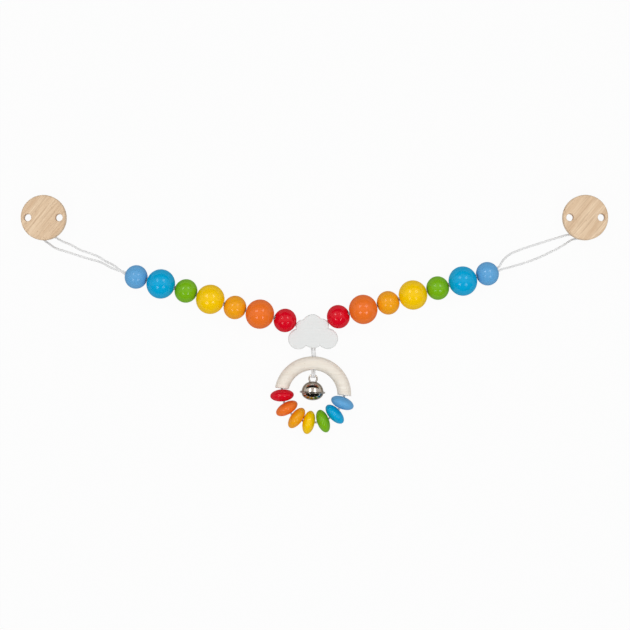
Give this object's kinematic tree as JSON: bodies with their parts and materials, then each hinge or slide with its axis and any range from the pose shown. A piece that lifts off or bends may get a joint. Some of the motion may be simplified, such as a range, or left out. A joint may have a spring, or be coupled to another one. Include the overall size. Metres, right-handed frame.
{
  "type": "pram chain toy",
  "caption": "Pram chain: round coloured wooden beads on a doubled cord, a white cloud between them, a half ring with lens beads and a bell below, and a round wooden clip at each end.",
  "frame": {"origin": "centre of the cloud's back face, on the table that the toy lies on", "axes": "+X along the chain to the right as seen from the front, +Y up the front, +Z away from the table, out of the front"},
  "size_m": [0.5086, 0.2072, 0.0255],
  "materials": {
    "red": "gloss red lacquer",
    "orange": "gloss orange lacquer",
    "light_orange": "gloss light orange lacquer",
    "yellow": "gloss yellow lacquer",
    "green": "gloss green lacquer",
    "blue": "gloss blue lacquer",
    "light_blue": "gloss light blue lacquer",
    "white": "satin white lacquer",
    "pale_wood": "satin, bleached beech",
    "natural_wood": "satin, oiled beech",
    "cord": "white braided cord",
    "nickel": "polished nickel plate",
    "steel": "nickelled sheet steel"
  },
  "bodies": {
    "bell_loop_body": {"bell_loop": "cord"},
    "bell_body": {"bell_eye": "nickel", "bell_lower_shell": "nickel", "bell_upper_shell": "nickel"},
    "cloud_body": {"cloud": "white", "cloud_cord": "cord"},
    "drop_body": {"drop_cord": "cord"},
    "left_bead_blue": {"left_bead_blue": "blue"},
    "left_bead_green": {"left_bead_green": "green"},
    "left_bead_light_blue": {"left_bead_light_blue": "light_blue"},
    "left_bead_light_orange": {"left_bead_light_orange": "light_orange"},
    "left_bead_orange": {"left_bead_orange": "orange"},
    "left_bead_red": {"left_bead_red": "red"},
    "left_bead_yellow": {"left_bead_yellow": "yellow"},
    "left_link_blue": {"left_cord_blue": "cord"},
    "left_link_green": {"left_cord_green": "cord"},
    "left_link_light_blue": {"left_cord_light_blue": "cord"},
    "left_link_light_orange": {"left_cord_light_orange": "cord"},
    "left_link_orange": {"left_cord_orange": "cord"},
    "left_link_red": {"left_cord_red": "cord"},
    "left_link_yellow": {"left_cord_yellow": "cord"},
    "left_clip_body": {"left_clip_disc": "natural_wood", "left_clip_pin": "steel", "left_clip_plate": "steel", "left_clip_rivet": "steel"},
    "left_jaw_body": {"left_clip_jaw": "steel"},
    "left_lever_body": {"left_clip_lever": "steel"},
    "left_loop_body": {"left_loop": "cord"},
    "lens_blue": {"lens_blue": "blue"},
    "lens_green": {"lens_green": "green"},
    "lens_light_blue": {"lens_light_blue": "light_blue"},
    "lens_light_orange": {"lens_light_orange": "light_orange"},
    "lens_orange": {"lens_orange": "orange"},
    "lens_red": {"lens_red": "red"},
    "lens_yellow": {"lens_yellow": "yellow"},
    "pellet_body": {"pellet": "steel"},
    "right_bead_blue": {"right_bead_blue": "blue"},
    "right_bead_green": {"right_bead_green": "green"},
    "right_bead_light_blue": {"right_bead_light_blue": "light_blue"},
    "right_bead_light_orange": {"right_bead_light_orange": "light_orange"},
    "right_bead_orange": {"right_bead_orange": "orange"},
    "right_bead_red": {"right_bead_red": "red"},
    "right_bead_yellow": {"right_bead_yellow": "yellow"},
    "right_link_blue": {"right_cord_blue": "cord"},
    "right_link_green": {"right_cord_green": "cord"},
    "right_link_light_blue": {"right_cord_light_blue": "cord"},
    "right_link_light_orange": {"right_cord_light_orange": "cord"},
    "right_link_orange": {"right_cord_orange": "cord"},
    "right_link_red": {"right_cord_red": "cord"},
    "right_link_yellow": {"right_cord_yellow": "cord"},
    "right_clip_body": {"right_clip_disc": "natural_wood", "right_clip_pin": "steel", "right_clip_plate": "steel", "right_clip_rivet": "steel"},
    "right_jaw_body": {"right_clip_jaw": "steel"},
    "right_lever_body": {"right_clip_lever": "steel"},
    "right_loop_body": {"right_loop": "cord"},
    "ring_body": {"half_ring": "pale_wood", "lens_string": "cord", "ring_cord": "cord"}
  },
  "joints": [
    {"name": "left_bend_red", "type": "hinge", "parent": "cloud_body", "child": "left_link_red", "pos_m": [-0.01498, 0.00653, 0.0072], "axis": [0, 0, 1], "range_deg": [-13, 8]},
    {"name": "left_bead_red_spin", "type": "hinge", "parent": "left_link_red", "child": "left_bead_red", "pos_m": [-0.02445, 0.0099, 0.0103], "axis": [-0.9389, 0.2746, 0.2073], "continuous": true},
    {"name": "left_bend_orange", "type": "hinge", "parent": "left_link_red", "child": "left_link_orange", "pos_m": [-0.03414, 0.01234, 0.01141], "axis": [0, 0, 1], "range_deg": [-15, 15]},
    {"name": "left_bead_orange_spin", "type": "hinge", "parent": "left_link_orange", "child": "left_bead_orange", "pos_m": [-0.04623, 0.01537, 0.0128], "axis": [-0.9681, 0.2504, 0], "continuous": true},
    {"name": "left_bend_light_orange", "type": "hinge", "parent": "left_link_orange", "child": "left_link_light_orange", "pos_m": [-0.05829, 0.01858, 0.01141], "axis": [0, 0, 1], "range_deg": [-15, 15]},
    {"name": "left_bead_light_orange_spin", "type": "hinge", "parent": "left_link_light_orange", "child": "left_bead_light_orange", "pos_m": [-0.06794, 0.02115, 0.0103], "axis": [-0.9583, 0.2857, 0], "continuous": true},
    {"name": "left_bend_yellow", "type": "hinge", "parent": "left_link_light_orange", "child": "left_link_yellow", "pos_m": [-0.07742, 0.02429, 0.01141], "axis": [0, 0, 1], "range_deg": [-15, 15]},
    {"name": "left_bead_yellow_spin", "type": "hinge", "parent": "left_link_yellow", "child": "left_bead_yellow", "pos_m": [-0.08927, 0.0282, 0.0128], "axis": [-0.9475, 0.3198, 0], "continuous": true},
    {"name": "left_bend_green", "type": "hinge", "parent": "left_link_yellow", "child": "left_link_green", "pos_m": [-0.10106, 0.03226, 0.01141], "axis": [0, 0, 1], "range_deg": [-15, 15]},
    {"name": "left_bead_green_spin", "type": "hinge", "parent": "left_link_green", "child": "left_bead_green", "pos_m": [-0.1105, 0.03551, 0.0103], "axis": [-0.9548, 0.2974, 0], "continuous": true},
    {"name": "left_bend_blue", "type": "hinge", "parent": "left_link_green", "child": "left_link_blue", "pos_m": [-0.12012, 0.0382, 0.01141], "axis": [0, 0, 1], "range_deg": [-15, 15]},
    {"name": "left_bead_blue_spin", "type": "hinge", "parent": "left_link_blue", "child": "left_bead_blue", "pos_m": [-0.13214, 0.04156, 0.0128], "axis": [-0.9627, 0.2706, 0], "continuous": true},
    {"name": "left_bend_light_blue", "type": "hinge", "parent": "left_link_blue", "child": "left_link_light_blue", "pos_m": [-0.14414, 0.04495, 0.01141], "axis": [0, 0, 1], "range_deg": [-15, 15]},
    {"name": "left_bead_light_blue_spin", "type": "hinge", "parent": "left_link_light_blue", "child": "left_bead_light_blue", "pos_m": [-0.15375, 0.04767, 0.0103], "axis": [-0.9483, 0.3173, 0], "continuous": true},
    {"name": "left_loop_swing", "type": "hinge", "parent": "left_link_light_blue", "child": "left_loop_body", "pos_m": [-0.16328, 0.05086, 0.01141], "axis": [0, 0, 1], "range_deg": [-20, 20]},
    {"name": "left_clip_swivel", "type": "hinge", "parent": "left_loop_body", "child": "left_clip_body", "pos_m": [-0.23358, 0.08176, 0.0062], "axis": [0, 0, 1], "range_deg": [-25, 25]},
    {"name": "left_jaw_swing", "type": "hinge", "parent": "left_clip_body", "child": "left_jaw_body", "pos_m": [-0.23358, 0.09096, 0.0059], "axis": [1, 0, 0], "range_deg": [-5.5, 0]},
    {"name": "left_lever_swing", "type": "hinge", "parent": "left_clip_body", "child": "left_lever_body", "pos_m": [-0.23358, 0.10296, 0.0024], "axis": [1, 0, 0], "range_deg": [0, 100]},
    {"name": "right_bend_red", "type": "hinge", "parent": "cloud_body", "child": "right_link_red", "pos_m": [0.01298, 0.00833, 0.0072], "axis": [0, 0, 1], "range_deg": [-15, 13]},
    {"name": "right_bead_red_spin", "type": "hinge", "parent": "right_link_red", "child": "right_bead_red", "pos_m": [0.02181, 0.01312, 0.0103], "axis": [0.9117, 0.3544, 0.2077], "continuous": true},
    {"name": "right_bend_orange", "type": "hinge", "parent": "right_link_red", "child": "right_link_orange", "pos_m": [0.03139, 0.01595, 0.01141], "axis": [0, 0, 1], "range_deg": [-15, 15]},
    {"name": "right_bead_orange_spin", "type": "hinge", "parent": "right_link_orange", "child": "right_bead_orange", "pos_m": [0.04336, 0.01947, 0.0128], "axis": [0.9632, 0.2689, 0], "continuous": true},
    {"name": "right_bend_light_orange", "type": "hinge", "parent": "right_link_orange", "child": "right_link_light_orange", "pos_m": [0.05542, 0.02265, 0.01141], "axis": [0, 0, 1], "range_deg": [-15, 15]},
    {"name": "right_bead_light_orange_spin", "type": "hinge", "parent": "right_link_light_orange", "child": "right_bead_light_orange", "pos_m": [0.06508, 0.02521, 0.0103], "axis": [0.9605, 0.2782, 0], "continuous": true},
    {"name": "right_bend_yellow", "type": "hinge", "parent": "right_link_light_orange", "child": "right_link_yellow", "pos_m": [0.0746, 0.02821, 0.01141], "axis": [0, 0, 1], "range_deg": [-15, 15]},
    {"name": "right_bead_yellow_spin", "type": "hinge", "parent": "right_link_yellow", "child": "right_bead_yellow", "pos_m": [0.0865, 0.03196, 0.0128], "axis": [0.9586, 0.2849, 0], "continuous": true},
    {"name": "right_bend_green", "type": "hinge", "parent": "right_link_yellow", "child": "right_link_green", "pos_m": [0.09851, 0.03531, 0.01141], "axis": [0, 0, 1], "range_deg": [-15, 15]},
    {"name": "right_bead_green_spin", "type": "hinge", "parent": "right_link_green", "child": "right_bead_green", "pos_m": [0.10813, 0.038, 0.0103], "axis": [0.9632, 0.2689, 0], "continuous": true},
    {"name": "right_bend_blue", "type": "hinge", "parent": "right_link_green", "child": "right_link_blue", "pos_m": [0.11775, 0.04068, 0.01141], "axis": [0, 0, 1], "range_deg": [-15, 15]},
    {"name": "right_bead_blue_spin", "type": "hinge", "parent": "right_link_blue", "child": "right_bead_blue", "pos_m": [0.12977, 0.04404, 0.0128], "axis": [0.9608, 0.2773, 0], "continuous": true},
    {"name": "right_bend_light_blue", "type": "hinge", "parent": "right_link_blue", "child": "right_link_light_blue", "pos_m": [0.14172, 0.0476, 0.01141], "axis": [0, 0, 1], "range_deg": [-15, 15]},
    {"name": "right_bead_light_blue_spin", "type": "hinge", "parent": "right_link_light_blue", "child": "right_bead_light_blue", "pos_m": [0.15129, 0.05046, 0.0103], "axis": [0.9336, 0.3584, 0], "continuous": true},
    {"name": "right_loop_swing", "type": "hinge", "parent": "right_link_light_blue", "child": "right_loop_body", "pos_m": [0.16067, 0.05406, 0.01141], "axis": [0, 0, 1], "range_deg": [-20, 15]},
    {"name": "right_clip_swivel", "type": "hinge", "parent": "right_loop_body", "child": "right_clip_body", "pos_m": [0.23577, 0.08186, 0.0062], "axis": [0, 0, 1], "range_deg": [-25, 25]},
    {"name": "right_jaw_swing", "type": "hinge", "parent": "right_clip_body", "child": "right_jaw_body", "pos_m": [0.23577, 0.09106, 0.0059], "axis": [1, 0, 0], "range_deg": [-5.5, 0]},
    {"name": "right_lever_swing", "type": "hinge", "parent": "right_clip_body", "child": "right_lever_body", "pos_m": [0.23577, 0.10306, 0.0024], "axis": [1, 0, 0], "range_deg": [0, 100]},
    {"name": "drop_swing", "type": "hinge", "parent": "cloud_body", "child": "drop_body", "pos_m": [0, -0.0142, 0.006], "axis": [0, 0, 1], "range_deg": [-15, 15]},
    {"name": "ring_swing", "type": "hinge", "parent": "drop_body", "child": "ring_body", "pos_m": [0.0005, -0.02138, 0.00549], "axis": [1, 0, 0], "range_deg": [-70, 70]},
    {"name": "lens_red_spin", "type": "hinge", "parent": "ring_body", "child": "lens_red", "pos_m": [-0.02707, -0.05518, 0.0103], "axis": [0.0696, -0.9976, 0], "continuous": true},
    {"name": "lens_orange_spin", "type": "hinge", "parent": "ring_body", "child": "lens_orange", "pos_m": [-0.02293, -0.06645, 0.0103], "axis": [0.491, -0.8712, 0], "continuous": true},
    {"name": "lens_light_orange_spin", "type": "hinge", "parent": "ring_body", "child": "lens_light_orange", "pos_m": [-0.01444, -0.07479, 0.0103], "axis": [0.805, -0.5933, 0], "continuous": true},
    {"name": "lens_yellow_spin", "type": "hinge", "parent": "ring_body", "child": "lens_yellow", "pos_m": [-0.0039, -0.07863, 0.0103], "axis": [0.9757, -0.2191, 0], "continuous": true},
    {"name": "lens_green_spin", "type": "hinge", "parent": "ring_body", "child": "lens_green", "pos_m": [0.00854, -0.07753, 0.0103], "axis": [0.9378, 0.3471, 0], "continuous": true},
    {"name": "lens_blue_spin", "type": "hinge", "parent": "ring_body", "child": "lens_blue", "pos_m": [0.01868, -0.07148, 0.0103], "axis": [0.7277, 0.6858, 0], "continuous": true},
    {"name": "lens_light_blue_spin", "type": "hinge", "parent": "ring_body", "child": "lens_light_blue", "pos_m": [0.02532, -0.06172, 0.0103], "axis": [0.3698, 0.9291, 0], "continuous": true},
    {"name": "bell_loop_swing", "type": "hinge", "parent": "ring_body", "child": "bell_loop_body", "pos_m": [0.00019, -0.03333, 0.00651], "axis": [0, 0, 1], "range_deg": [-20, 20]},
    {"name": "bell_swing", "type": "hinge", "parent": "bell_loop_body", "child": "bell_body", "pos_m": [0.00002, -0.03728, 0.0111], "axis": [1, 0, 0], "range_deg": [-75, 75]},
    {"name": "pellet_roll", "type": "hinge", "parent": "bell_body", "child": "pellet_body", "pos_m": [-0.00061, -0.05237, 0.0111], "axis": [0.0419, 0.9991, 0], "continuous": true}
  ],
  "couplings": [
    {"joint": "left_jaw_swing", "follows": "left_lever_swing", "ratio": -0.045},
    {"joint": "right_jaw_swing", "follows": "right_lever_swing", "ratio": -0.045}
  ]
}
